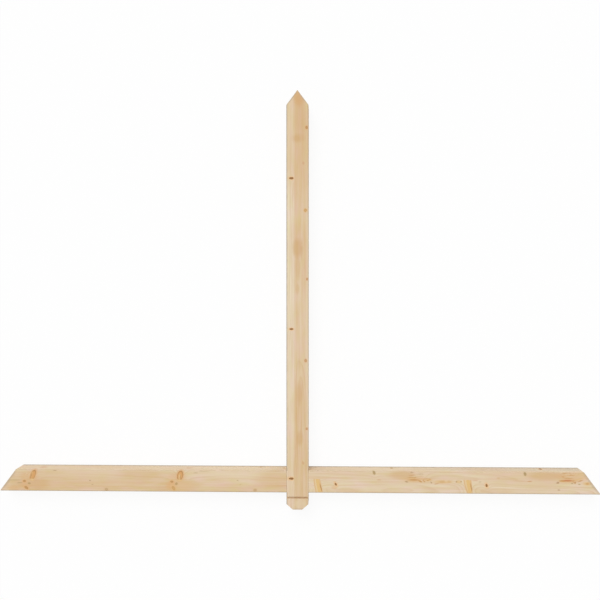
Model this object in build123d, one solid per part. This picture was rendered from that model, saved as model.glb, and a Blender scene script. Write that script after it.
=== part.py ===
from build123d import *
import os

# Timber gable bracket, laid flat on its back.
# A king post stands between two level arms, and all three are sawn from one square section.
# +X is the viewer's right, +Y runs up to the peak, and +Z comes out of the front faces.
# The origin is on the post's centreline, level with the arms' lower edge, in the plane of the backs.
# Sizes are in millimetres.

# Roof line: the arm tips and the peak lie in two planes that rise at this pitch, 16 in 12
SPAN = 2438.4
PITCH_RISE = 406.4
PITCH_RUN = 304.8

# Timbers: one depth, so that fronts and backs finish flush
POST_WIDTH = 88.9
ARM_HEIGHT = 88.9
TIMBER_DEPTH = 88.9

# Foot of the post, below the arms: a corner cut off each side and a groove across the front
FOOT_DROP = 69.85
FOOT_CUT_WIDTH = 25.4
FOOT_CUT_HEIGHT = 22.2
GROOVE_DROP = 20.6
GROOVE_WIDTH = 6.35
GROOVE_DEPTH = 6.35

# Edges: rounded along the length of each timber, and sanded around each sawn end
LONG_EDGE_RADIUS = 2.0
SAWN_EDGE_CHAMFER = 0.8


def roof_height(offset):
    """Height of the roof line above the arms' lower edge, at this offset from the centreline."""
    return (SPAN / 2 - offset) * PITCH_RISE / PITCH_RUN


def roof_offset(height):
    """Offset of the roof line from the centreline, at this height above the arms' lower edge."""
    return SPAN / 2 - height * PITCH_RUN / PITCH_RISE


def sawn_timber(outline):
    """Straight timber of the bracket's depth whose front has this outline, given as its corners."""
    face = make_face(Polyline(*outline, close=True))
    return extrude(face, amount=TIMBER_DEPTH)


def ease_edges(timber, sawn_ends, grain):
    """Sand the edges around the sawn ends, then round the edges that run along the grain."""
    timber = chamfer(sawn_ends.edges(), SAWN_EDGE_CHAMFER)
    return fillet(timber.edges().filter_by(grain), LONG_EDGE_RADIUS)


def king_post():
    """Upright timber, from the shaped foot to the peak that is sawn to both roof slopes."""
    side = POST_WIDTH / 2
    foot = -FOOT_DROP
    right_corners = [
        (side - FOOT_CUT_WIDTH, foot),
        (side, foot + FOOT_CUT_HEIGHT),
        (side, roof_height(side)),
    ]
    peak = (0, roof_height(0))
    left_corners = [(-x, y) for x, y in reversed(right_corners)]
    timber = sawn_timber(right_corners + [peak] + left_corners)
    sawn_ends = timber.faces() - timber.faces().filter_by(Axis.X) - timber.faces().filter_by(Axis.Z)
    timber = ease_edges(timber, sawn_ends, Axis.Y)
    groove = Pos(0, -GROOVE_DROP, TIMBER_DEPTH) * Box(
        POST_WIDTH, GROOVE_WIDTH, GROOVE_DEPTH, align=(Align.CENTER, Align.CENTER, Align.MAX)
    )
    return timber - groove


def right_arm():
    """Level timber, butted square against the post and sawn to the roof slope at its tip."""
    shoulder = POST_WIDTH / 2
    timber = sawn_timber(
        [
            (shoulder, 0),
            (roof_offset(0), 0),
            (roof_offset(ARM_HEIGHT), ARM_HEIGHT),
            (shoulder, ARM_HEIGHT),
        ]
    )
    sloping_end = timber.faces().sort_by(Axis.X)[-1:]
    return ease_edges(timber, sloping_end, Axis.X)


def left_arm():
    """The right arm's mirror image across the post."""
    return mirror(right_arm(), about=Plane.YZ)


pieces = {
    "king_post": king_post(),
    "left_arm": left_arm(),
    "right_arm": right_arm(),
}

os.makedirs("parts", exist_ok=True)
for name, piece in pieces.items():
    export_step(piece, f"parts/{name}.step")
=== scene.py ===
"""Dressed model of a timber gable bracket that lies flat on its back on a pale floor.

A king post stands between two level arms. All three are planed softwood, glued up from two boards each.
Lengths are metres in the meshes and millimetres in the wood's figure.
"""

import logging
import math
from collections.abc import Callable, Iterable, Iterator, Sequence
from contextlib import contextmanager
from dataclasses import dataclass
from enum import Enum
from functools import cache

import bmesh
import bpy
from bmesh.types import BMEdge, BMFace
from bpy.types import Material, Node, NodeSocket, NodeTree, Object, World, bpy_prop_collection
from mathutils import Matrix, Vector


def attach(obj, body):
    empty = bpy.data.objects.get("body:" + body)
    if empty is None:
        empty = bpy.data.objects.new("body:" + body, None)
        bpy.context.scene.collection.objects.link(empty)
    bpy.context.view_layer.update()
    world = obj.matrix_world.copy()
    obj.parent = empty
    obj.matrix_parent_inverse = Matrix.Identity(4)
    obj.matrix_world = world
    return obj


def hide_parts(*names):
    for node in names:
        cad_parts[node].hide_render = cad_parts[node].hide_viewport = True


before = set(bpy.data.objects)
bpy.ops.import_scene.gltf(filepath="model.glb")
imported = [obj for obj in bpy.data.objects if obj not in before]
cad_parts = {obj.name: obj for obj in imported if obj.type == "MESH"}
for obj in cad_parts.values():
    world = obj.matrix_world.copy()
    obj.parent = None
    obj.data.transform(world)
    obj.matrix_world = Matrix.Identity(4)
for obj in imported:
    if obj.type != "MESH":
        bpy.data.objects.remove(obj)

LOG = logging.getLogger("gable_bracket")
MM = 0.001

MATH = "ShaderNodeMath"
VECTOR_MATH = "ShaderNodeVectorMath"
MIX = "ShaderNodeMix"
# Takes a value, the ends of its range, and the ends of what that range becomes
MAP_RANGE = "ShaderNodeMapRange"
NOISE = "ShaderNodeTexNoise"
GROUP = "ShaderNodeGroup"

Feed = Node | NodeSocket | float | Sequence[float] | None
Pair = tuple[float, float]
Triple = tuple[float, float, float]
Sockets = dict[str, Sequence[str]]


def linear(colour: str) -> tuple[float, float, float, float]:
    """Turn an sRGB hex colour into the linear colour that a shader takes.

    Args:
        colour: Six hex digits after a hash sign.

    Returns:
        Linear red, green and blue, and an alpha of 1.
    """
    parts = [int(colour[i : i + 2], 16) / 255 for i in (1, 3, 5)]
    red, green, blue = (c / 12.92 if c <= 0.04045 else ((c + 0.055) / 1.055) ** 2.4 for c in parts)
    return red, green, blue, 1.0


def add(
    tree: NodeTree, kind: str, feeds: Sequence[Feed] | dict[str, Feed] = (), **settings: object
) -> Node:
    """Add one node with its settings and links.

    Args:
        tree: The node tree of a material, a group or the world.
        kind: The node's type.
        feeds: What the inputs in use get, in order or by name. A node stands for its first output in
            use, and None leaves an input as it is.
        **settings: The node's own properties.

    Returns:
        The new node.
    """
    node = tree.nodes.new(kind)
    for name, value in settings.items():
        setattr(node, name, value)
    sockets = [socket for socket in node.inputs if socket.enabled]
    if isinstance(feeds, dict):
        names = [socket.name for socket in sockets]
        pairs = [(sockets[names.index(name)], feed) for name, feed in feeds.items()]
    else:
        pairs = list(zip(sockets, feeds))
    for socket, feed in pairs:
        if isinstance(feed, Node):
            feed = next(output for output in feed.outputs if output.enabled)
        if isinstance(feed, NodeSocket):
            tree.links.new(feed, socket)
        elif feed is not None:
            socket.default_value = feed
    return node


def bare_tree(owner: Material | World) -> NodeTree:
    """Turn on the nodes of a material or the world.

    Args:
        owner: The material or the world.

    Returns:
        Its node tree, with nothing in it yet.
    """
    owner.use_nodes = True
    owner.node_tree.nodes.clear()
    return owner.node_tree


def new_group(name: str, inputs: Sockets, outputs: Sockets) -> tuple[NodeTree, bpy_prop_collection]:
    """Start a node group.

    Args:
        name: The group's name.
        inputs: Names of its inputs, by their type.
        outputs: Names of its outputs, by their type.

    Returns:
        The group's tree, and in it what the inputs give.
    """
    tree = bpy.data.node_groups.new(name, "ShaderNodeTree")
    for direction, kinds in (("INPUT", inputs), ("OUTPUT", outputs)):
        for kind, sockets in kinds.items():
            for socket in sockets:
                tree.interface.new_socket(name=socket, in_out=direction, socket_type=f"NodeSocket{kind}")
    return tree, add(tree, "NodeGroupInput").outputs


class Grain(Enum):
    """Which way a timber's grain runs, as the turn about Z that lays it level."""

    LEVEL = 0.0
    UPRIGHT = -math.pi / 2

    @property
    def axis(self) -> Vector:
        """Direction of the grain in the shared frame."""
        return Vector((1, 0, 0)) if self is Grain.LEVEL else Vector((0, 1, 0))


class Side(Enum):
    """Side of the post that an arm is on, as the sign of its X."""

    LEFT = -1
    RIGHT = 1


class Face(Enum):
    """Face of a timber that a branch comes out through, as its direction in the timber's own axes."""

    FRONT = (0.0, 0.0, 1.0)
    UPPER = (0.0, 1.0, 0.0)
    BACK = (0.0, 0.0, -1.0)
    LOWER = (0.0, -1.0, 0.0)


class Growth(Enum):
    """Kind of knot, with its colours: the wood inside, the bark line round it and the wood it stains.

    A wedge is a branch cut along its length. Its heart and the bark seam on its rim are growths of
    their own, and so is wood that has overgrown part of a knot. A faint one is nearly as pale as the
    wood. A buried one doesn't reach the face, and only bends the grain over it.
    """

    SPIKE = ("#DBA668", "#B38148", "#DCAF7C")
    WEDGE = ("#E5CA9C", "#DAB07A", "#DFC094")
    HEART = ("#E2BC7C", "#DFB878", "#E4C690")
    DARK = ("#996A36", "#855A2C", "#E7BB86")
    BROWN = ("#C3955C", "#B0824C", "#DDAE78")
    AMBER = ("#D1A66A", "#C29458", "#DFB67E")
    FAINT = ("#CBAA80", "#BE9C6E", "#D8B88E")
    GREY = ("#C09E6A", "#B29260", "#D3B285")
    OLIVE = ("#B89C6E", "#A58858", "#CDB386")
    RED = ("#CC9F70", "#BE9060", "#DDB68E")
    SEAM = ("#BC8B54", "#C3945F", "#DCB47A")
    OVERGROWN = ("#DFBC88", "#DDB880", "#DBB680")
    BURIED = None

    @property
    def bend(self) -> float:
        """How far it pushes the grain aside, as a share of its half width."""
        if self in (Growth.HEART, Growth.SEAM, Growth.OVERGROWN):
            return 0.0
        return 0.45 if self is Growth.WEDGE else 1.1


@dataclass(frozen=True)
class Board:
    """One of the two boards that a timber is glued up from.

    The pith is the centre of the tree's rings, in millimetres across the front and out from the back.
    The tone runs from 0 for pale sapwood to 1 for tan heartwood.
    """

    pith: Pair
    tone: float


@dataclass(frozen=True)
class Knot:
    """A branch that comes out through a face, in millimetres along and across that face.

    It leans, in degrees, towards the far end of the timber as it crosses the face.
    """

    growth: Growth
    along: float
    across: float
    half_along: float
    half_across: float
    lean: float = 0.0
    halo: float = 2.0
    face: Face = Face.FRONT


@dataclass(frozen=True)
class Mark:
    """A soft-edged stain, resin streak, change of tone, painted shade or painted highlight in a face, in
    millimetres.

    A long one falls, in degrees, from level as it goes towards the far end of the timber.
    """

    colour: str
    along: float
    across: float
    half_along: float
    half_across: float
    strength: float = 0.6
    fall: float = 0.0
    face: Face = Face.FRONT


@dataclass(frozen=True)
class Figure:
    """What a timber shows on its faces: its two boards, the glue line between them, knots and marks.

    The upper board is the one further across, past the glue line. Their tones meet over a blend width.
    """

    glue_line: float
    blend: float
    upper: Board
    lower: Board
    knots: tuple[Knot, ...]
    marks: tuple[Mark, ...]


# Stains and streaks, named for what leaves them, and painted shade for the groove and the sawn edges
PALE_WOOD = "#E6D3B4"
TAN_WOOD = "#D3AC78"
HOT_SAW = "#D0A062"
WARM_STAIN = "#CDA36B"
ORANGE_STAIN = "#DBAA70"
RESIN = "#C69254"
RED_RESIN = "#C98452"
RESIN_YELLOW = "#DDB87C"
RED_STAIN = "#CE9C72"
DARK_SPECK = "#A27748"
OLIVE_STREAK = "#B39C68"
# Painted shade that darkens the routed groove
GROOVE_SHADE = "#A9763F"
# Painted shade along the edges of the sawn ends and along the foot's lower edge
END_EDGE_SHADE = "#B3A28E"
GREYED = "#BDB5A3"


LEFT_ARM_KNOTS = (
    Knot(Growth.SPIKE, -1082.4, 65, 9.5, 21.3, lean=22, halo=1.8),
    Knot(Growth.SPIKE, -478, 66, 11.5, 20, lean=12, halo=1.7),
    Knot(Growth.BROWN, -1118, 40.2, 5.5, 4.2, halo=2.4),
    Knot(Growth.BROWN, -512, 41, 5.5, 4.2, halo=2.4),
    Knot(Growth.GREY, -1098, 30.6, 5.5, 3.8),
    Knot(Growth.GREY, -493, 33, 4.5, 4.5),
    Knot(Growth.BROWN, -1110, 13, 8, 4.6, lean=30, halo=2.3),
    Knot(Growth.AMBER, -505, 15, 5.5, 9, lean=-32, halo=2.3),
    Knot(Growth.FAINT, -780, 8.5, 6.5, 5.5, halo=2.2),
    Knot(Growth.FAINT, -172, 9, 6, 5, halo=2.2),
    Knot(Growth.OVERGROWN, -1086, 48, 7, 5, lean=25, halo=1.7),
    Knot(Growth.SEAM, -1091.4, 58.5, 1.8, 15, lean=20),
    Knot(Growth.OVERGROWN, -482, 48, 8.5, 5, lean=12, halo=1.7),
    Knot(Growth.OVERGROWN, -481.5, 60, 2.4, 10, lean=4, halo=1.6),
    Knot(Growth.SEAM, -477.2, 58, 1.3, 11, lean=2, halo=1.8),
    Knot(Growth.FAINT, -153, 22, 5, 9, face=Face.UPPER),
    Knot(Growth.FAINT, -53, 39, 4, 4, face=Face.UPPER),
    Knot(Growth.DARK, -803, 41, 6, 7, face=Face.BACK),
    Knot(Growth.BROWN, -262, 57, 9, 7, face=Face.BACK),
    Knot(Growth.DARK, -690, 30, 7, 6, face=Face.LOWER),
)

LEFT_ARM_MARKS = (
    Mark(TAN_WOOD, -980, 54, 320, 44, 0.3),
    Mark(TAN_WOOD, -725, 30, 110, 26, 0.22),
    Mark(ORANGE_STAIN, -1100, 60, 42, 20, 0.4),
    Mark(ORANGE_STAIN, -492, 58, 42, 20, 0.35),
    Mark(PALE_WOOD, -868, 72, 150, 22, 0.25),
    Mark(PALE_WOOD, -254, 72, 165, 22, 0.4),
    Mark(TAN_WOOD, -634, 70, 110, 24, 0.4),
    Mark(TAN_WOOD, -90, 50, 90, 40, 0.4),
    Mark(TAN_WOOD, -1090, 24, 95, 26, 0.35),
    Mark(TAN_WOOD, -480, 24, 95, 26, 0.3),
    Mark(RESIN_YELLOW, -478, 24, 60, 24, 0.35),
    Mark(ORANGE_STAIN, -1114, 24, 26, 17, 0.38),
    Mark(ORANGE_STAIN, -514, 26, 24, 20, 0.5),
    Mark(ORANGE_STAIN, -1162, 10, 28, 13, 0.4),
    Mark(HOT_SAW, -1058, 34, 42, 26, 0.2),
    Mark(PALE_WOOD, -1098, 67, 11, 2.2, 0.4, fall=-68),
    Mark(PALE_WOOD, -1110, 71, 9, 2, 0.35, fall=-75),
    Mark(OLIVE_STREAK, -1139, 32.6, 13, 1.8, 0.8),
    Mark(OLIVE_STREAK, -1160, 44, 30, 3, 0.4),
    Mark(OLIVE_STREAK, -413, 78, 10, 1.8, 0.5),
    Mark(OLIVE_STREAK, -383, 84, 22, 2.2, 0.3),
    Mark(DARK_SPECK, -993, 83.8, 9, 1.6),
    Mark(DARK_SPECK, -847, 44.2, 4, 2.4, 0.7),
    Mark(DARK_SPECK, -838, 27.5, 4, 2.2, 0.5),
    Mark(DARK_SPECK, -242, 48.2, 4, 2.4, 0.5),
    Mark(DARK_SPECK, -232, 31, 4, 2.2, 0.25),
    # Painted shade along the edge of the sloping end
    Mark(END_EDGE_SHADE, -1185, 44, 62, 8, 0.5, fall=-53.1),
    Mark(RED_STAIN, -1052, 50, 16, 22, 0.5, face=Face.UPPER),
    Mark(RED_STAIN, -447, 50, 16, 12, 0.5, face=Face.UPPER),
    Mark(PALE_WOOD, -230, 40, 190, 40, 0.35, face=Face.UPPER),
    Mark(TAN_WOOD, -760, 40, 160, 40, 0.2, face=Face.UPPER),
)

LEFT_ARM_FIGURE = Figure(
    glue_line=50.0,
    blend=44.0,
    upper=Board(pith=(30.0, -25.0), tone=0.44),
    lower=Board(pith=(70.0, -60.0), tone=0.64),
    knots=LEFT_ARM_KNOTS,
    marks=LEFT_ARM_MARKS,
)

RIGHT_ARM_KNOTS = (
    Knot(Growth.WEDGE, 83, 28, 12.8, 74, lean=-10, halo=1.3),
    Knot(Growth.HEART, 84.5, 32, 6, 50, lean=-10, halo=1.5),
    Knot(Growth.SEAM, 95, 21, 2, 16, lean=-15, halo=2.2),
    Knot(Growth.WEDGE, 685.5, 55, 14.2, 62, lean=-10, halo=1.3),
    Knot(Growth.HEART, 691, 36, 6.5, 46, lean=-10, halo=1.5),
    Knot(Growth.SEAM, 701.5, 25, 1.7, 17, lean=-11),
    Knot(Growth.DARK, 155.5, 35, 3.4, 6.2, lean=-35, halo=3),
    Knot(Growth.DARK, 763, 34, 3.9, 6, lean=-20, halo=3),
    Knot(Growth.OLIVE, 310, 83, 4.5, 7, lean=-20, halo=1.8),
    Knot(Growth.OLIVE, 916.5, 81.6, 4.5, 7, lean=-20, halo=1.8),
    Knot(Growth.BURIED, 500, 72, 13, 10),
    Knot(Growth.BURIED, 1092, 76, 16, 11),
    Knot(Growth.GREY, 385, 27, 5, 9, face=Face.UPPER),
    Knot(Growth.DARK, 992, 30, 6, 11, face=Face.UPPER),
    Knot(Growth.BROWN, 240, 36, 8, 8, face=Face.BACK),
    Knot(Growth.DARK, 846, 61, 7, 6, face=Face.BACK),
    Knot(Growth.BROWN, 520, 52, 9, 6, face=Face.LOWER),
)

RIGHT_ARM_MARKS = (
    Mark(TAN_WOOD, 960, 50, 280, 22, 0.22),
    Mark(TAN_WOOD, 470, 50, 200, 12, 0.18),
    Mark(TAN_WOOD, 215, 12, 60, 14, 0.2),
    Mark(TAN_WOOD, 790, 12, 90, 14, 0.25),
    Mark(TAN_WOOD, 425, 74, 62, 20),
    Mark(TAN_WOOD, 1003, 74, 92, 20),
    Mark(ORANGE_STAIN, 1120, 72, 80, 22, 0.42),
    Mark(PALE_WOOD, 320, 73, 8, 6, 0.3),
    Mark(RED_STAIN, 330, 54, 10, 2.2, 0.7),
    Mark(RED_STAIN, 936.5, 52, 12, 2.8, 0.95),
    Mark(RED_STAIN, 900, 52.6, 40, 1.8, fall=1),
    Mark(RED_STAIN, 716, 53, 14, 1.8),
    Mark(OLIVE_STREAK, 736, 48, 6, 5, 0.3),
    Mark(TAN_WOOD, 811, 64, 8, 5, 0.45),
    Mark(ORANGE_STAIN, 480, 55, 60, 11, 0.5),
    Mark(DARK_SPECK, 440.5, 47.2, 7, 3.8),
    Mark(RESIN, 470, 54.6, 23, 3.7, 0.9),
    Mark(RESIN, 495, 49.5, 10, 3.6, 0.9, fall=30),
    Mark(RESIN, 511, 50.5, 8, 3.4, 0.8, fall=50),
    Mark(RESIN, 463, 64.3, 19, 2.2),
    Mark(RESIN, 459, 72.2, 12, 1.9, 0.5),
    Mark(DARK_SPECK, 462, 85, 8, 3.2, 0.45),
    Mark(RESIN, 476, 64.2, 5, 2.6),
    Mark(RESIN_YELLOW, 466, 60.1, 12, 2.2),
    Mark(RED_STAIN, 461, 73.8, 14, 2, 0.5),
    Mark(OLIVE_STREAK, 496.5, 78.5, 16, 2.4, 0.4),
    Mark(TAN_WOOD, 496, 68.4, 16, 2.6, 0.45),
    Mark(RESIN, 520, 60, 14, 2, 0.45, fall=-12),
    Mark(PALE_WOOD, 504.6, 52.2, 2.6, 3.6, 0.7),
    Mark(RESIN_YELLOW, 530, 54, 15, 7, 0.55),
    Mark(RESIN, 531, 54.2, 8, 2.6, 0.8, fall=-22),
    Mark(DARK_SPECK, 541, 44.2, 3.2, 4.2, 0.7),
    Mark(RESIN_YELLOW, 588, 48, 42, 9, 0.7),
    Mark(RESIN, 583, 47, 15, 4, 0.4),
    Mark(RESIN, 612, 47.2, 12, 3, 0.35),
    Mark(PALE_WOOD, 599, 52, 7, 2.6, 0.45),
    Mark(RESIN, 561, 39.4, 10, 3, 0.5, fall=-10),
    Mark(RESIN_YELLOW, 651, 48.5, 13, 7, 0.7),
    Mark(DARK_SPECK, 642.5, 48.5, 3, 4),
    Mark(DARK_SPECK, 659.8, 48.6, 3, 4),
    Mark(ORANGE_STAIN, 149, 22, 13, 8, 0.4),
    Mark(ORANGE_STAIN, 1090, 54, 40, 9, 0.5),
    Mark(DARK_SPECK, 1047, 47.3, 6, 4.2, 0.75),
    Mark(RESIN, 1066, 54, 14, 4, 0.95),
    Mark(RED_RESIN, 1087, 55.5, 21, 4.4, 1.0),
    Mark(RESIN, 1111, 50, 11, 3.2, 0.5, fall=35),
    Mark(RESIN, 1118.5, 47.8, 3.6, 4.6, 0.9),
    Mark(DARK_SPECK, 1118, 47.8, 2.6, 3, 0.45),
    Mark(DARK_SPECK, 1105, 44.5, 6, 2.6),
    Mark(RESIN, 1075, 85.4, 12, 1.8, 0.7),
    Mark(PALE_WOOD, 1083, 81.4, 9, 1.8, 0.5),
    Mark(RESIN, 1103, 77, 16, 1.7),
    Mark(RESIN, 1068, 70.5, 6, 3, 0.55),
    Mark(PALE_WOOD, 1094, 71, 18, 1.6, 0.45),
    Mark(RESIN, 1090, 65, 20, 1.9, 0.8),
    Mark(RESIN_YELLOW, 1063, 50.5, 12, 2.6),
    Mark(RESIN, 1112, 57, 5, 2.4, 0.8),
    Mark(RESIN_YELLOW, 1128, 60, 20, 4, fall=-12),
    Mark(RESIN, 1137, 54.6, 13, 2.8, 0.8, fall=-16),
    Mark(OLIVE_STREAK, 1133, 40.5, 6, 3, 0.75),
    Mark(RESIN_YELLOW, 1166, 43.5, 21, 9, 0.75),
    Mark(RESIN, 1165, 43.5, 7, 4, 0.7),
    Mark(DARK_SPECK, 1052, 17.6, 6, 3.2, 0.5),
    # Painted shade along the edge of the sloping end
    Mark(END_EDGE_SHADE, 1185, 44, 62, 9, 0.52, fall=53.1),
    Mark(GREYED, 870, 40, 420, 40, 0.28, face=Face.UPPER),
    Mark(GREYED, 1120, 30, 90, 30, 0.25, face=Face.UPPER),
    Mark(RED_STAIN, 150, 40, 120, 34, 0.12, face=Face.UPPER),
    Mark(PALE_WOOD, 230, 40, 190, 40, 0.35, face=Face.UPPER),
    Mark(RED_STAIN, 760, 40, 120, 34, 0.2, face=Face.UPPER),
)

RIGHT_ARM_FIGURE = Figure(
    glue_line=56.0,
    blend=3.0,
    upper=Board(pith=(40.0, -30.0), tone=0.45),
    lower=Board(pith=(10.0, -45.0), tone=0.36),
    knots=RIGHT_ARM_KNOTS,
    marks=RIGHT_ARM_MARKS,
)

KING_POST_KNOTS = (
    Knot(Growth.DARK, 1272, 24.2, 4.6, 8.5, halo=2.2),
    Knot(Growth.DARK, 664, 24.3, 3.4, 7.2, halo=2.6),
    Knot(Growth.DARK, 57, 24.5, 4.6, 9.3, halo=2.7),
    Knot(Growth.BROWN, 1475, -37, 6, 4.5),
    Knot(Growth.AMBER, 1143, -32, 6, 5.5),
    Knot(Growth.RED, 866, -38.7, 5, 4),
    Knot(Growth.RED, 536, -33, 6, 5),
    Knot(Growth.RED, 260, -37.6, 5, 4),
    Knot(Growth.BROWN, 1010, -12, 8, 7, face=Face.BACK),
    Knot(Growth.DARK, 402, 14, 7, 6, face=Face.BACK),
    Knot(Growth.BROWN, 780, 40, 7, 6, face=Face.UPPER),
    Knot(Growth.RED, 310, 46, 6, 5, face=Face.LOWER),
)

KING_POST_MARKS = (
    Mark(TAN_WOOD, 1440, 0, 270, 70, 0.34),
    Mark(TAN_WOOD, 80, 0, 240, 70, 0.24),
    Mark(TAN_WOOD, 950, -30, 130, 16, 0.28),
    Mark(TAN_WOOD, 1050, -10, 60, 26, 0.2),
    Mark(PALE_WOOD, 575, -10, 150, 20, 0.2),
    # Painted shade in the groove
    Mark(GROOVE_SHADE, -20.6, 0, 3.4, 90, 0.3),
    Mark(HOT_SAW, 1604, -6, 52, 26, 0.5),
    Mark(HOT_SAW, 1590, -7, 30, 14, 0.35),
    Mark(TAN_WOOD, 1600, 8, 30, 6),
    Mark(WARM_STAIN, 1515, -10, 80, 26, 0.32),
    Mark(WARM_STAIN, 1433, -4, 21, 30, 0.35),
    Mark(WARM_STAIN, 1431, 0, 15, 14, 0.4),
    Mark(TAN_WOOD, 1220, -14, 160, 34, 0.2),
    Mark(TAN_WOOD, 1055, 12, 60, 14, 0.2),
    Mark(TAN_WOOD, 345, -12, 80, 40, 0.28),
    Mark(PALE_WOOD, -48, -12, 26, 26, 0.45),
    # Painted shade along both edges of the peak and along the lower edge of the foot
    Mark(END_EDGE_SHADE, 1595, 22.2, 38, 5, fall=36.9),
    Mark(END_EDGE_SHADE, 1595, -22.2, 38, 5, 0.45, fall=-36.9),
    Mark(END_EDGE_SHADE, -69, 0, 6, 60, 0.25),
    Mark(WARM_STAIN, 991, -0.4, 42, 22, 0.62),
    Mark(WARM_STAIN, 915, -1, 60, 13, 0.38),
    Mark(WARM_STAIN, 826, -0.7, 24, 9, 0.35),
    Mark(WARM_STAIN, 404, -7.5, 50, 15, 0.35),
    Mark(WARM_STAIN, 220, -9.2, 32, 15, 0.45),
    Mark(RED_STAIN, 1333, -24, 7, 5),
    Mark(RED_STAIN, 121, -23.4, 7, 5),
    # Paler strip along the left arris, on the lit side: partly paler wood, partly a painted highlight
    Mark(PALE_WOOD, 600, -41, 640, 6, 0.5),
)

KING_POST_FIGURE = Figure(
    glue_line=13.0,
    blend=4.0,
    upper=Board(pith=(-20.0, -20.0), tone=0.20),
    lower=Board(pith=(-14.0, 12.0), tone=0.63),
    knots=KING_POST_KNOTS,
    marks=KING_POST_MARKS,
)


@contextmanager
def editing(piece: Object) -> Iterator[None]:
    """Edit one piece alone by its edges, and leave edit mode at the end.

    Args:
        piece: The piece to edit.

    Returns:
        The time in edit mode.
    """
    bpy.ops.object.select_all(action="DESELECT")
    piece.select_set(True)
    bpy.context.view_layer.objects.active = piece
    bpy.ops.object.mode_set(mode="EDIT")
    bpy.ops.mesh.select_mode(type="EDGE")
    yield
    bpy.ops.object.mode_set(mode="OBJECT")


def bevel_edges(piece: Object, wanted: Callable[[BMEdge], bool], offset: float, segments: int) -> None:
    """Bevel the wanted edges of the piece that is being edited.

    Args:
        piece: The piece.
        wanted: Says whether an edge is to be bevelled.
        offset: Width of the bevel on each side of an edge, in metres.
        segments: How many faces the bevel has across it.
    """
    bpy.ops.mesh.select_all(action="DESELECT")
    form = bmesh.from_edit_mesh(piece.data)
    for edge in [edge for edge in form.edges if wanted(edge)]:
        edge.select_set(True)
    bmesh.update_edit_mesh(piece.data)
    bpy.ops.mesh.bevel(offset=offset, segments=segments, affect="EDGES")


def squared(name: str, middle: Vector, size: Vector) -> Object:
    """Add a squared block, with its place in its mesh.

    Args:
        name: The block's name.
        middle: Its middle.
        size: Its full size.

    Returns:
        The block.
    """
    bpy.ops.object.select_all(action="DESELECT")
    bpy.ops.mesh.primitive_cube_add(size=1, location=middle, scale=size)
    bpy.ops.object.transform_apply(location=True, rotation=True, scale=True)
    block = bpy.context.object
    block.name = block.data.name = name
    return block


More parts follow.
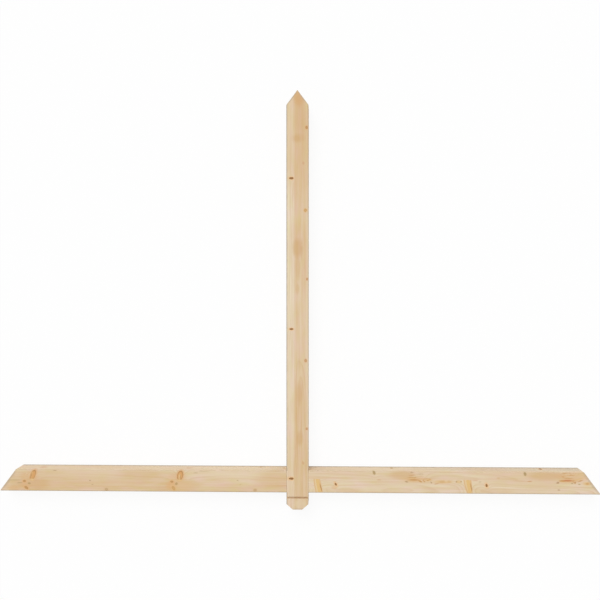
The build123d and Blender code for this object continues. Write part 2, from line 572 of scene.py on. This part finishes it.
@dataclass
class Timber:
    """A straight timber of square section, sawn at its ends and planed on its four sides."""

    name: str
    node: str
    grain: Grain
    figure: Figure
    section: float = 88.9 * MM
    middle: float = 44.45 * MM
    # Run and rise of the roof
    slope: Pair = (12.0, 16.0)
    round_over: float = 2.0 * MM
    sanded: float = 1.4 * MM
    cut_every: float = 14.0 * MM
    # Full depth of the noise that wears the arrises, of which about half is reached
    wear: float = 0.9 * MM
    wear_patch: float = 45.0 * MM
    # How much of a sawn face's normal runs along the grain, at least
    sawn_from: float = 0.3
    # How strongly painted shade with some grime darkens the front arrises, the one with the lower across
    # first
    arris_shade_grime: Pair = (0.6, 0.12)
    # Stretch along the timber where others butt against it, which gets no painted arris shade or grime
    joint: Pair | None = None
    # The timber's mesh, once it is built
    piece: Object | None = None

    def corners(self) -> tuple[Vector, Vector]:
        """Lowest and highest corner of the squared blank."""
        raise NotImplementedError

    def saw_cuts(self) -> Iterable[tuple[Vector, Vector]]:
        """Saw cuts that shape the blank, each as a point and the direction that falls away."""
        raise NotImplementedError

    def spot(self, face: Face, along: float, across: float) -> Vector:
        """Find a spot on a face, in the timber's own axes.

        Args:
            face: The face.
            along: Distance along the timber, in millimetres.
            across: Distance across the front or back, or out from the back on the other faces.

        Returns:
            Millimetres along the grain, across the front and out from the back.
        """
        half = self.section / MM / 2
        if face in (Face.FRONT, Face.BACK):
            return Vector((along, across, half)) + Vector(face.value) * half
        return Vector((along, self.middle / MM, across)) + Vector(face.value) * half

    def is_sawn(self, face: BMFace) -> bool:
        """Whether a face is a sawn end that is sanded round its edge."""
        return abs(face.normal.dot(self.grain.axis)) > self.sawn_from

    def is_sawn_edge(self, edge: BMEdge) -> bool:
        """Whether an edge is one of a sawn end."""
        return any(self.is_sawn(face) for face in edge.link_faces)

    def is_long(self, edge: BMEdge) -> bool:
        """Whether an edge runs along the grain."""
        return abs((edge.verts[1].co - edge.verts[0].co).normalized().dot(self.grain.axis)) > 0.999

    def shape(self) -> None:
        """Work that only this timber has, done once its edges are eased."""

    def build(self) -> Object:
        """Model the timber from its blank.

        Returns:
            The timber, with its place in its mesh.
        """
        low, high = self.corners()
        self.piece = squared(self.name, (low + high) / 2, high - low)
        self._saw()
        self._ease()
        self.shape()
        self._divide()
        self._wear()
        return self.piece

    def _saw(self) -> None:
        """Cut the ends of the blank to shape."""
        with editing(self.piece):
            for point, away in self.saw_cuts():
                bpy.ops.mesh.select_all(action="SELECT")
                bpy.ops.mesh.bisect(plane_co=point, plane_no=away, use_fill=True, clear_outer=True)
            bpy.ops.mesh.select_all(action="SELECT")
            bpy.ops.mesh.normals_make_consistent(inside=False)

    def _ease(self) -> None:
        """Round the long arrises, then sand round the sawn ends."""
        with editing(self.piece):
            bevel_edges(self.piece, self.is_long, self.round_over, 4)
            bevel_edges(self.piece, self.is_sawn_edge, self.sanded, 2)

    def _divide(self) -> None:
        """Cut the sides into short lengths, so that the arrises can wear unevenly."""
        axis = self.grain.axis
        start, end = (corner.dot(axis) for corner in self.corners())
        with editing(self.piece):
            for step in range(1, int((end - start) / self.cut_every)):
                bpy.ops.mesh.select_all(action="SELECT")
                bpy.ops.mesh.bisect(plane_co=axis * (start + step * self.cut_every), plane_no=axis)

    def _wear(self) -> None:
        """Wear the long arrises inwards by up to half a millimetre, then smooth the shading."""
        piece = self.piece
        arris = piece.vertex_groups.new(name="arris")
        centre = self.section / 2
        across = Vector((0, 1, 0)) if self.grain is Grain.LEVEL else Vector((1, 0, 0))
        for vertex in piece.data.vertices:
            nearness = min(abs(vertex.co.dot(across) - self.middle), abs(vertex.co.z - centre))
            closeness = 1 - (centre - nearness) / self.round_over
            if closeness > 0:
                arris.add([vertex.index], closeness, "REPLACE")
        hollows = bpy.data.textures.new(f"{self.name} handling", "CLOUDS")
        hollows.noise_scale = self.wear_patch
        wear = piece.modifiers.new("wear", "DISPLACE")
        wear.texture = hollows
        wear.vertex_group = arris.name
        wear.mid_level = 1.0
        wear.strength = self.wear
        bpy.ops.object.modifier_apply(modifier=wear.name)
        piece.vertex_groups.clear()
        bpy.ops.object.shade_smooth_by_angle(angle=math.radians(32))
        flat = piece.modifiers.new("flat faces", "WEIGHTED_NORMAL")
        flat.keep_sharp = True
        bpy.ops.object.modifier_apply(modifier=flat.name)


@dataclass
class Arm(Timber):
    """Level timber, butted square against the post and sawn to the roof slope at its tip."""

    side: Side = Side.LEFT
    shoulder: float = 44.45 * MM
    reach: float = 1219.2 * MM
    # How much of a square face's normal runs along the grain, at least
    square_from: float = 0.95

    def corners(self) -> tuple[Vector, Vector]:
        """Lowest and highest corner of the squared blank."""
        near, far = sorted((self.shoulder * self.side.value, self.reach * self.side.value))
        return Vector((near, 0, 0)), Vector((far, self.section, self.section))

    def saw_cuts(self) -> Iterable[tuple[Vector, Vector]]:
        """List the saw cuts.

        Returns:
            The roof slope, from the lower corner of the tip.
        """
        run, rise = self.slope
        sign = self.side.value
        yield Vector((self.reach * sign, 0, 0)), Vector((rise * sign, run, 0)).normalized()

    def is_sawn(self, face: BMFace) -> bool:
        """Whether a face is the sloping end, because the shoulder stays square where it is butted."""
        return self.sawn_from < abs(face.normal.x) < self.square_from


@dataclass
class KingPost(Timber):
    """Upright timber with a peak sawn to both roof slopes, a shaped foot and a groove across its front."""

    width: float = 88.9 * MM
    peak: float = 1625.6 * MM
    foot_drop: float = 69.85 * MM
    foot_cut: Pair = (25.4 * MM, 22.2 * MM)
    groove_drop: float = 20.6 * MM
    groove_width: float = 6.35 * MM
    groove_depth: float = 6.35 * MM
    groove_edge: float = 0.5 * MM

    def corners(self) -> tuple[Vector, Vector]:
        """Lowest and highest corner of the squared blank."""
        half = self.width / 2
        return Vector((-half, -self.foot_drop, 0)), Vector((half, self.peak, self.section))

    def saw_cuts(self) -> Iterable[tuple[Vector, Vector]]:
        """List the saw cuts.

        Returns:
            Both roof slopes at the peak, and both corners of the foot.
        """
        run, rise = self.slope
        wide, tall = self.foot_cut
        for sign in (-1, 1):
            yield Vector((0, self.peak, 0)), Vector((rise * sign, run, 0)).normalized()
            corner = Vector((sign * (self.width / 2 - wide), -self.foot_drop, 0))
            yield corner, Vector((sign * tall, -wide, 0)).normalized()

    def is_lip(self, edge: BMEdge) -> bool:
        """Find the edges where the groove meets the front or its rounded sides.

        Args:
            edge: An edge of the post.

        Returns:
            Whether it is one of them.
        """
        level = all(vertex.co.z > self.section - self.groove_depth / 2 for vertex in edge.verts)
        lips = [-self.groove_drop + side * self.groove_width / 2 for side in (-1, 1)]
        return level and any(all(abs(vertex.co.y - lip) < 1e-5 for vertex in edge.verts) for lip in lips)

    def shape(self) -> None:
        """Rout the groove across the front and break its two edges."""
        middle = Vector((0, -self.groove_drop, self.section))
        cut = Vector((self.width * 1.2, self.groove_width, self.groove_depth * 2))
        router = squared("router", middle, cut)
        bpy.ops.object.select_all(action="DESELECT")
        self.piece.select_set(True)
        bpy.context.view_layer.objects.active = self.piece
        groove = self.piece.modifiers.new("groove", "BOOLEAN")
        groove.operation = "DIFFERENCE"
        groove.solver = "EXACT"
        groove.object = router
        bpy.ops.object.modifier_apply(modifier=groove.name)
        bpy.data.meshes.remove(router.data)
        with editing(self.piece):
            bevel_edges(self.piece, self.is_lip, self.groove_edge, 2)


@dataclass(frozen=True)
class PlanedSoftwood:
    """Planed spruce, unfinished: pale, soft-lined, nearly matt, with resin-stained knots.

    The rings are cut lengthwise, so that the sides show long lines and arches and the ends show arcs.
    """

    # Pale sapwood through straw to the tan of stained heartwood, by tone
    tones: tuple[tuple[float, str], ...] = (
        (0.0, "#EAD9BD"),
        (0.33, "#E2CDAE"),
        (0.66, "#DDC19C"),
        (1.0, "#D3AE7C"),
    )
    # Size of the bands that differ in tone, and by how much
    bands: tuple[tuple[Triple, float], ...] = (((380, 8, 8), 0.75), ((150, 34, 34), 0.55))
    # The most that a patch turns pinker, in linear colour, and with the sign changed more olive
    blush: Triple = (0.10, -0.03, 0.22)
    blush_patch: Triple = (70, 22, 22)
    summer_wood: str = "#C69C66"
    end_spring: str = "#D3B58A"
    end_summer: str = "#A67D4F"
    # Colour of the painted shade, with some grime, along the arrises and towards the floor
    shade_and_grime_colour: str = "#9C8C76"
    ring_spacing: float = 3.2
    # A trunk narrows by about 7 mm in a metre, which closes the lines into arches
    trunk_taper: float = 0.007
    # How strongly the rings show, and how much more for each millimetre that a knot pushes them
    lines: float = 0.42
    lines_by_knot: float = 0.03
    # Fibres are 0.03 mm wide, too fine to show, so they are drawn as streaks of 1.6 mm
    fibre: Triple = (70, 1.6, 1.6)
    fibre_tone: float = 0.45
    # Knife marks of a planer are 1 to 2 mm apart, and are drawn 5 mm apart so that they show
    knife_marks: float = 5.0
    saw_marks: float = 2.2
    # Smooth noise that shifts what is drawn: its size, and the full width of the shift
    knot_edges: tuple[Triple, Triple] = (14, 5, 5), (3.2, 3.2, 3.2)
    stain_edges: tuple[Triple, Triple] = (40, 2.5, 12), (16, 3, 3)
    ring_sway: tuple[Triple, Triple] = (650, 90, 90), (16, 16, 16)
    stain_depth: float = 30.0
    # Where the painted shade with grime starts and is full, in from an arris, and where the painted
    # contact shade starts and is full, up from the floor, and their patches
    arris_shade_grime_band: Pair = (4.6, 1.2)
    floor_contact_shade_band: Pair = (26.0, 4.0)
    floor_contact_shade_cover: float = 0.75
    shade_grime_patch: Triple = (24, 24, 24)
    shade_grime_shift: Pair = (3.0, 14.0)
    # Roughness of the planed faces, and how much rougher and browner sawn ones are
    roughness: Pair = (0.52, 0.64)
    end_rougher: float = 0.2
    end_browner: float = 0.7
    # Depth of the relief in metres, and what fills it besides the fibres: rings, knife and saw
    relief: float = 0.25 * MM
    relief_parts: Triple = (0.5, 0.05, 0.25)

    def dress(self, piece: Object, timber: Timber) -> None:
        """Give a timber its own wood.

        Args:
            piece: The timber's mesh.
            timber: What the timber is, with the figure that its faces show.
        """
        material = bpy.data.materials.new(f"planed softwood {timber.node}")
        TimberShader(self, timber, bare_tree(material)).build()
        piece.data.materials.clear()
        piece.data.materials.append(material)


@dataclass
class TimberShader:
    """Shader of one timber, with sizes and places in millimetres."""

    wood: PlanedSoftwood
    timber: Timber
    tree: NodeTree

    def __post_init__(self) -> None:
        """Find how far a place is along the grain, across the front and out from the back."""
        turn = {
            "Vector": add(self.tree, "ShaderNodeTexCoord").outputs["Object"],
            "Rotation": (0, 0, self.timber.grain.value),
            "Scale": (1 / MM,) * 3,
        }
        self.place = add(self.tree, "ShaderNodeMapping", turn)
        parts = add(self.tree, "ShaderNodeSeparateXYZ", (self.place,)).outputs
        self.along, self.across, self.depth = parts
        glue_line = self.timber.figure.glue_line
        self.past_glue = add(self.tree, MATH, (self.across, glue_line), operation="SUBTRACT")

    def build(self) -> None:
        """Lay the marks over the clear wood, then the knots, the painted shade with grime along the
        arrises and towards the floor, and the surface.
        """
        shaken = self._shift(*self.wood.knot_edges)
        feathered = self._shift(*self.wood.stain_edges)
        shapes = self._knots(shaken)
        push = shapes[-1].outputs["Push"]
        late = self._rings(push)
        fibres = self._streaks(self.wood.fibre)
        colour = self._clear_wood(late, fibres, push)
        colour = self._marks(feathered, colour)
        for knot, shape in zip(self.timber.figure.knots, shapes):
            if knot.growth is not Growth.BURIED:
                feeds = (colour, *map(linear, knot.growth.value), shape.outputs["Ratio"], knot.halo)
                colour = add(self.tree, GROUP, feeds, node_tree=knot_paint())
        colour = self._arrises(colour)
        self._surface(colour, late, fibres)

    def _noise(self, size: Triple, detail: float = 2.0) -> Node:
        """Draw smooth noise.

        Args:
            size: Its size along, across and out.
            detail: How many finer layers it has.

        Returns:
            The noise, from 0 to 1.
        """
        by = [1 / part for part in size]
        scaled = add(self.tree, VECTOR_MATH, (self.place, by), operation="MULTIPLY")
        return add(self.tree, NOISE, {"Vector": scaled, "Scale": 1.0, "Detail": detail})

    def _shift(self, size: Triple, by: Triple) -> Node:
        """Shift the place by smooth noise, so that what is drawn there wanders.

        Args:
            size: Size of the noise along, across and out.
            by: Full width of the shift along, across and out.

        Returns:
            The shifted place.
        """
        colour = self._noise(size).outputs["Color"]
        centred = add(self.tree, VECTOR_MATH, (colour, (0.5,) * 3), operation="SUBTRACT")
        return add(self.tree, VECTOR_MATH, (centred, by, self.place), operation="MULTIPLY_ADD")

    def _streaks(self, size: Triple, detail: float = 2.0) -> Node:
        """Give smooth noise of a size and detail, from about -0.5 to 0.5."""
        return add(self.tree, MATH, (self._noise(size, detail), 0.5), operation="SUBTRACT")

    def _knots(self, place: Feed) -> list[Node]:
        """Shape every knot.

        Args:
            place: Place with a shaken edge.

        Returns:
            A node for each knot, with its Ratio and the Push of all so far.
        """
        figure = self.timber.figure
        short_of_glue = add(self.tree, MATH, (self.past_glue, -1.0), operation="MULTIPLY")
        shapes: list[Node] = []
        for knot in figure.knots:
            out = Vector(knot.face.value)
            centre = self.timber.spot(knot.face, knot.along, knot.across)
            in_upper = centre.y > figure.glue_line
            pith = (figure.upper if in_upper else figure.lower).pith
            ray = centre - Vector((knot.along, *pith))
            # A branch rises a little along the trunk on its way out
            direction = (out * 2 + ray.normalized() + Vector((0.25, 0, 0))).normalized()
            feeds = {
                "Place": place,
                "Middle": centre,
                "Direction": direction,
                "Half size": (knot.half_along, knot.half_across, knot.half_across),
                "Lean": math.radians(knot.lean),
                "Length": max(40.0, ray.length),
                "Inside": self.past_glue if in_upper else short_of_glue,
                "Bulge": min(knot.half_along, knot.half_across) * knot.growth.bend,
                "Push": shapes[-1].outputs["Push"] if shapes else 0.0,
            }
            shapes.append(add(self.tree, GROUP, feeds, node_tree=knot_shape()))
        return shapes

    def _rings(self, push: Feed) -> Node:
        """Draw the growth rings round each board's pith.

        Args:
            push: How far knots push the rings aside.

        Returns:
            0 in spring wood, up to 1 where the summer wood ends.
        """
        tree, wood, figure = self.tree, self.wood, self.timber.figure
        board = add(tree, MAP_RANGE, (self.past_glue, -0.3, 0.3))
        piths = (0, *figure.lower.pith), (0, *figure.upper.pith)
        pith = add(tree, MIX, (board, *piths), data_type="VECTOR")
        out = add(tree, VECTOR_MATH, (self._shift(*wood.ring_sway), pith), operation="SUBTRACT")
        along = add(tree, "ShaderNodeSeparateXYZ", (out,))
        flat = add(tree, VECTOR_MATH, (out, (0, 1, 1)), operation="MULTIPLY")
        radius = add(tree, VECTOR_MATH, (flat,), operation="LENGTH")
        tapered = add(tree, MATH, (along, wood.trunk_taper, radius), operation="MULTIPLY_ADD")
        pushed = add(tree, MATH, (tapered, push), operation="ADD")
        years = add(tree, MATH, (pushed, wood.ring_spacing), operation="DIVIDE")
        # Spells of three years or so grow faster or slower, with fainter or stronger lines
        spell = add(tree, NOISE, {"W": years, "Scale": 0.3, "Detail": 1.0}, noise_dimensions="1D")
        uneven = add(tree, MATH, (spell, 3.0, years), operation="MULTIPLY_ADD")
        season = add(tree, MATH, (uneven,), operation="FRACT")
        rise = add(tree, MATH, (season, 3.0), operation="POWER")
        fall = add(tree, MAP_RANGE, (season, 1.0, 0.9))
        ring = add(tree, MATH, (rise, fall), operation="MULTIPLY")
        dry = add(tree, MAP_RANGE, (spell, 0.35, 0.65, 0.45))
        return add(tree, MATH, (ring, dry), operation="MULTIPLY")

    def _clear_wood(self, late: Feed, fibres: Feed, push: Feed) -> Node:
        """Colour the wood before its marks and knots.

        Args:
            late: How far a place is into the summer wood.
            fibres: The fibres.
            push: How far knots push the rings aside.

        Returns:
            The colour.
        """
        tree, wood, figure = self.tree, self.wood, self.timber.figure
        meet = (-figure.blend / 2, figure.blend / 2)
        tone = add(tree, MAP_RANGE, (self.past_glue, *meet, figure.lower.tone, figure.upper.tone))
        for size, weight in wood.bands:
            tone = add(tree, MATH, (self._streaks(size), weight, tone), operation="MULTIPLY_ADD")
        tone = add(tree, MATH, (fibres, wood.fibre_tone, tone), operation="MULTIPLY_ADD")
        ramp = add(tree, "ShaderNodeValToRGB", (tone,))
        stops = ramp.color_ramp.elements
        for _ in wood.tones[2:]:
            stops.new(0.5)
        for stop, (position, colour) in zip(stops, wood.tones):
            stop.position = position
            stop.color = linear(colour)
        patches = self._streaks(wood.blush_patch, 3.0)
        blushed = add(tree, VECTOR_MATH, (patches, wood.blush, ramp), operation="MULTIPLY_ADD")
        near_knot = (push, wood.lines_by_knot, wood.lines)
        shown = add(tree, MATH, near_knot, operation="MULTIPLY_ADD", use_clamp=True)
        lines = add(tree, MATH, (late, shown), operation="MULTIPLY")
        return add(tree, MIX, (lines, blushed, linear(wood.summer_wood)), data_type="RGBA")

    def _marks(self, place: Feed, colour: Feed) -> Node:
        """Lay the stains and streaks over the clear wood.

        Args:
            place: Place with an edge that feathers along the grain.
            colour: Colour of the clear wood.

        Returns:
            The colour with the marks on it.
        """
        deep = self.wood.stain_depth
        for mark in self.timber.figure.marks:
            half = (mark.half_along, mark.half_across, deep)
            if mark.face in (Face.UPPER, Face.LOWER):
                half = (mark.half_along, deep, mark.half_across)
            feeds = {
                "Colour": colour,
                "Place": place,
                "Middle": self.timber.spot(mark.face, mark.along, mark.across),
                "Half size": half,
                "Fall": math.radians(mark.fall),
                "Tint": linear(mark.colour),
                "Strength": mark.strength,
            }
            colour = add(self.tree, GROUP, feeds, node_tree=mark_paint())
        return colour

    def _arrises(self, colour: Feed) -> Node:
        """Darken the long arrises with painted shade and some grime, and the foot of each side, nearest
        the floor, with painted contact shade.

        Args:
            colour: Colour of the long faces.

        Returns:
            The colour with the painted shade and grime on it.
        """
        tree, wood, timber = self.tree, self.wood, self.timber
        half = timber.section / MM / 2
        offset = add(tree, MATH, (self.across, timber.middle / MM), operation="SUBTRACT")
        proud = add(tree, MATH, (self.depth, half), operation="SUBTRACT")
        from_middle = [add(tree, MATH, (part,), operation="ABSOLUTE") for part in (offset, proud)]
        inner = add(tree, MATH, from_middle, operation="MINIMUM")
        uneven = self._streaks(wood.shade_grime_patch)
        in_shift, up_shift = wood.shade_grime_shift
        # Painted shade with some grime along the front arrises, stronger on one of them
        reach = add(tree, MATH, (uneven, in_shift, inner), operation="MULTIPLY_ADD")
        span = (reach, *(half - inset for inset in wood.arris_shade_grime_band))
        edge = add(tree, MAP_RANGE, span, interpolation_type="SMOOTHSTEP")
        side = add(tree, MAP_RANGE, (offset, -half, half, *timber.arris_shade_grime))
        arris_shade_grime = add(tree, MATH, (edge, side), operation="MULTIPLY")
        if timber.joint:
            start, end = (place / MM for place in timber.joint)
            from_joint = add(tree, MATH, (self.along, (start + end) / 2), operation="SUBTRACT")
            away = add(tree, MATH, (from_joint,), operation="ABSOLUTE")
            clear = add(tree, MAP_RANGE, (away, (end - start) / 2 - 1, (end - start) / 2 + 1))
            arris_shade_grime = add(tree, MATH, (arris_shade_grime, clear), operation="MULTIPLY")
        # Painted contact shade, darker towards the floor at the foot of each side
        height = add(tree, MATH, (uneven, up_shift, self.depth), operation="MULTIPLY_ADD")
        span = (height, *wood.floor_contact_shade_band, 0.0, wood.floor_contact_shade_cover)
        contact_shade = add(tree, MAP_RANGE, span, interpolation_type="SMOOTHSTEP")
        shade_and_grime = add(tree, MATH, (arris_shade_grime, contact_shade), operation="MAXIMUM")
        return add(tree, MIX, (shade_and_grime, colour, linear(wood.shade_and_grime_colour)), data_type="RGBA")

    def _surface(self, colour: Feed, late: Feed, fibres: Feed) -> None:
        """Add the end grain, the gloss and the relief, and the shader itself.

        Args:
            colour: Colour of the long faces.
            late: How far a place is into the summer wood.
            fibres: The fibres.
        """
        tree, wood = self.tree, self.wood
        # Sawn faces cut the fibres off square, so they look darker and their arcs stand out
        geometry = add(tree, "ShaderNodeNewGeometry")
        facing = (geometry.outputs["Normal"], self.timber.grain.axis)
        turned = add(tree, VECTOR_MATH, facing, operation="DOT_PRODUCT")
        square = add(tree, MATH, (turned,), operation="ABSOLUTE")
        end = add(tree, MAP_RANGE, (square, 0.35, 0.5), interpolation_type="SMOOTHSTEP")
        shades = (late, linear(wood.end_spring), linear(wood.end_summer))
        arcs = add(tree, MIX, shades, data_type="RGBA")
        cover = add(tree, MATH, (end, wood.end_browner), operation="MULTIPLY")
        colour = add(tree, MIX, (cover, colour, arcs), data_type="RGBA")

        planed = add(tree, MAP_RANGE, (fibres, -0.4, 0.4, *wood.roughness))
        roughness = add(tree, MATH, (end, wood.end_rougher, planed), operation="MULTIPLY_ADD")

        waves = []
        for part, spacing in ((self.along, wood.knife_marks), (self.across, wood.saw_marks)):
            turns = add(tree, MATH, (part, math.tau / spacing), operation="MULTIPLY")
            waves.append(add(tree, MATH, (turns,), operation="SINE"))
        knife, saw = waves
        scored = add(tree, MATH, (saw, end), operation="MULTIPLY")
        height = fibres
        for part, weight in zip((late, knife, scored), wood.relief_parts):
            height = add(tree, MATH, (part, weight, height), operation="MULTIPLY_ADD")
        bump = {"Height": height, "Strength": 0.5, "Distance": wood.relief}
        relief = add(tree, "ShaderNodeBump", bump)
        finish = {"Base Color": colour, "Roughness": roughness, "Normal": relief, "IOR": 1.5}
        shader = add(tree, "ShaderNodeBsdfPrincipled", finish)
        add(tree, "ShaderNodeOutputMaterial", {"Surface": shader})


def part_of_half(tree: NodeTree, out: Feed, turn: Feed, half: Feed) -> Node:
    """Say how far out a place is, as a part of the half size there.

    Args:
        tree: The group's tree.
        out: The place, from the middle.
        turn: How far the shape is turned about Z, in radians.
        half: Half size along, across and out.

    Returns:
        0 in the middle and 1 on the rim.
    """
    feeds = {"Vector": out, "Angle": turn}
    turned = add(tree, "ShaderNodeVectorRotate", feeds, rotation_type="Z_AXIS")
    sized = add(tree, VECTOR_MATH, (turned, half), operation="DIVIDE")
    return add(tree, VECTOR_MATH, (sized,), operation="LENGTH")


@cache
def knot_shape() -> NodeTree:
    """Group that says how far out from a knot's middle a place is.

    Returns:
        A group whose Ratio is 1 on the rim of the branch, a cone that narrows towards the pith.
    """
    inputs = {
        "Vector": ("Place", "Middle", "Direction", "Half size"),
        "Float": ("Lean", "Length", "Inside", "Bulge", "Push"),
    }
    tree, given = new_group("knot shape", inputs, {"Float": ("Ratio", "Push")})
    out = add(tree, VECTOR_MATH, (given["Place"], given["Middle"]), operation="SUBTRACT")
    reach = add(tree, VECTOR_MATH, (out, given["Direction"]), operation="DOT_PRODUCT")
    outward = add(tree, VECTOR_MATH, (given["Direction"], reach), operation="SCALE")
    flat = add(tree, VECTOR_MATH, (out, outward), operation="SUBTRACT")
    ratio = part_of_half(tree, flat, given["Lean"], given["Half size"])
    part = add(tree, MATH, (reach, given["Length"]), operation="DIVIDE")
    taper = add(tree, MATH, (part, 1.0), operation="ADD")
    open_end = add(tree, MATH, (taper, 0.05), operation="MAXIMUM")
    cone = add(tree, MATH, (ratio, open_end), operation="DIVIDE")
    # It stops at the glue line
    short = add(tree, MATH, (given["Inside"], 0.0), operation="MINIMUM")
    clear = add(tree, MATH, (short, -4.0, cone), operation="MULTIPLY_ADD")
    # The rings bend less and less further out from it
    square = add(tree, MATH, (clear, clear), operation="MULTIPLY")
    spread = add(tree, MATH, (square, 0.35, 1.0), operation="MULTIPLY_ADD")
    bulge = add(tree, MATH, (given["Bulge"], spread), operation="DIVIDE")
    push = add(tree, MATH, (bulge, given["Push"]), operation="ADD")
    add(tree, "NodeGroupOutput", {"Ratio": clear, "Push": push})
    return tree


@cache
def knot_paint() -> NodeTree:
    """Group that paints one knot over the wood: stained wood round it, its bark line and its inside.

    Returns:
        A group that takes a colour and gives it back with the knot on it.
    """
    inputs = {"Color": ("Colour", "Inside", "Bark", "Halo"), "Float": ("Ratio", "Reach")}
    tree, given = new_group("knot paint", inputs, {"Color": ("Colour",)})
    colour = given["Colour"]
    for layer, start, full, cover in (("Halo", given["Reach"], 1.0, 0.85), ("Bark", 1.12, 0.92, 1.0)):
        span = (given["Ratio"], start, full, 0.0, cover)
        fade = add(tree, MAP_RANGE, span, interpolation_type="SMOOTHSTEP")
        colour = add(tree, MIX, (fade, colour, given[layer]), data_type="RGBA")
    # Rings of the branch itself, four of them from its middle to its rim
    turn = add(tree, MATH, (given["Ratio"], math.tau * 4), operation="MULTIPLY")
    ring = add(tree, MATH, (turn,), operation="SINE")
    shade = add(tree, MATH, (ring, 0.14, 0.86), operation="MULTIPLY_ADD")
    core = add(tree, MAP_RANGE, (given["Ratio"], 0.9, 0.72), interpolation_type="SMOOTHSTEP")
    inside = add(tree, MATH, (core, shade), operation="MULTIPLY")
    colour = add(tree, MIX, (inside, colour, given["Inside"]), data_type="RGBA")
    add(tree, "NodeGroupOutput", {"Colour": colour})
    return tree


@cache
def mark_paint() -> NodeTree:
    """Group that tints the wood round one place, fading out to the mark's half size.

    Returns:
        A group that takes a colour and gives it back with the mark on it.
    """
    inputs = {
        "Color": ("Colour", "Tint"),
        "Vector": ("Place", "Middle", "Half size"),
        "Float": ("Fall", "Strength"),
    }
    tree, given = new_group("mark paint", inputs, {"Color": ("Colour",)})
    out = add(tree, VECTOR_MATH, (given["Place"], given["Middle"]), operation="SUBTRACT")
    ratio = part_of_half(tree, out, given["Fall"], given["Half size"])
    span = (ratio, 1.25, 0.45, 0.0, given["Strength"])
    fade = add(tree, MAP_RANGE, span, interpolation_type="SMOOTHSTEP")
    colour = add(tree, MIX, (fade, given["Colour"], given["Tint"]), data_type="RGBA")
    add(tree, "NodeGroupOutput", {"Colour": colour})
    return tree


@dataclass(frozen=True)
class Studio:
    """Pale floor, plain soft light from the upper left, and the camera that looks down on the bracket."""

    floor_size: float = 30.0
    floor_gap: float = 0.5 * MM
    floor_colour: str = "#FBFBFB"
    # How much plain white covers the floor's shading where it is seen
    lifted: float = 0.90
    sky_strength: float = 0.60
    key_strength: float = 1.39
    key_softness: float = 38.0
    key_from: Triple = (-0.20, 0.50, 0.78)
    lens: float = 50.0
    film: float = 36.0
    stand: Triple = (0.102, 0.852, 3.451)
    pitch: float = -1.20
    yaw: float = 1.56

    def build(self) -> None:
        """Set up the floor, the light and the camera."""
        self._floor()
        self._light()
        self._camera()
        bpy.context.scene.view_settings.view_transform = "Standard"

    def _floor(self) -> None:
        """Lay a matt floor that looks white and still takes the bracket's shadow."""
        bpy.ops.object.select_all(action="DESELECT")
        bpy.ops.mesh.primitive_plane_add(size=self.floor_size, location=(0, 0, -self.floor_gap))
        floor = bpy.context.object
        floor.name = "floor"
        material = bpy.data.materials.new("matt white studio floor")
        tree = bare_tree(material)
        matt = add(tree, "ShaderNodeBsdfDiffuse", {"Color": linear(self.floor_colour)})
        white = add(tree, "ShaderNodeEmission", {"Strength": 1.0})
        lift = add(tree, MATH, (self._seen(tree), self.lifted), operation="MULTIPLY")
        surface = add(tree, "ShaderNodeMixShader", (lift, matt, white))
        add(tree, "ShaderNodeOutputMaterial", {"Surface": surface})
        floor.data.materials.append(material)

    def _seen(self, tree: NodeTree) -> Node:
        """Tell the rays by which the background is seen, straight or in gloss or glass.

        Args:
            tree: The tree of the floor's material or the world.

        Returns:
            1 for such a ray and 0 for others.
        """
        rays = add(tree, "ShaderNodeLightPath").outputs
        seen = add(tree, MATH, (rays["Is Camera Ray"], rays["Is Glossy Ray"]), operation="ADD")
        return add(tree, MATH, (seen, rays["Is Transmission Ray"]), operation="ADD", use_clamp=True)

    def _light(self) -> None:
        """Light the room evenly and add one soft lamp."""
        world = bpy.context.scene.world = bpy.data.worlds.new("studio")
        tree = bare_tree(world)
        strength = add(tree, MAP_RANGE, (self._seen(tree), 0.0, 1.0, self.sky_strength))
        sky = add(tree, "ShaderNodeBackground", {"Color": (1, 1, 1, 1), "Strength": strength})
        add(tree, "ShaderNodeOutputWorld", {"Surface": sky})
        bpy.ops.object.light_add(type="SUN", location=(-2, 3, 4))
        lamp = bpy.context.object
        lamp.name = "key_lamp"
        lamp.data.energy = self.key_strength
        lamp.data.angle = math.radians(self.key_softness)
        lamp.rotation_euler = Vector(self.key_from).to_track_quat("Z", "Y").to_euler()

    def _camera(self) -> None:
        """Hold the camera over the bracket, turned a little to its left and up."""
        turn = (math.radians(self.pitch), math.radians(self.yaw), 0.0)
        bpy.ops.object.camera_add(location=self.stand, rotation=turn)
        camera = bpy.context.object
        camera.data.lens = self.lens
        camera.data.sensor_width = self.film
        bpy.context.scene.camera = camera


def main() -> None:
    """Set up the studio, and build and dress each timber."""
    logging.basicConfig(level=logging.INFO, format="%(message)s")
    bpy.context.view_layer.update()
    Studio().build()
    wood = PlanedSoftwood()
    timbers = (
        KingPost(
            "king_post_timber",
            "king_post",
            Grain.UPRIGHT,
            KING_POST_FIGURE,
            middle=0.0,
            # The right front arris, on the side away from the lamp, gets the most painted shade
            arris_shade_grime=(0.2, 0.85),
            joint=(0, 88.9 * MM),
        ),
        Arm("left_arm_timber", "left_arm", Grain.LEVEL, LEFT_ARM_FIGURE, side=Side.LEFT),
        Arm("right_arm_timber", "right_arm", Grain.LEVEL, RIGHT_ARM_FIGURE, side=Side.RIGHT),
    )
    for timber in timbers:
        piece = timber.build()
        wood.dress(piece, timber)
        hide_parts(timber.node)
        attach(piece, "root")
        LOG.info("%s: %d faces, %d knots", piece.name, len(piece.data.polygons), len(timber.figure.knots))


if __name__ == "__main__":
    main()
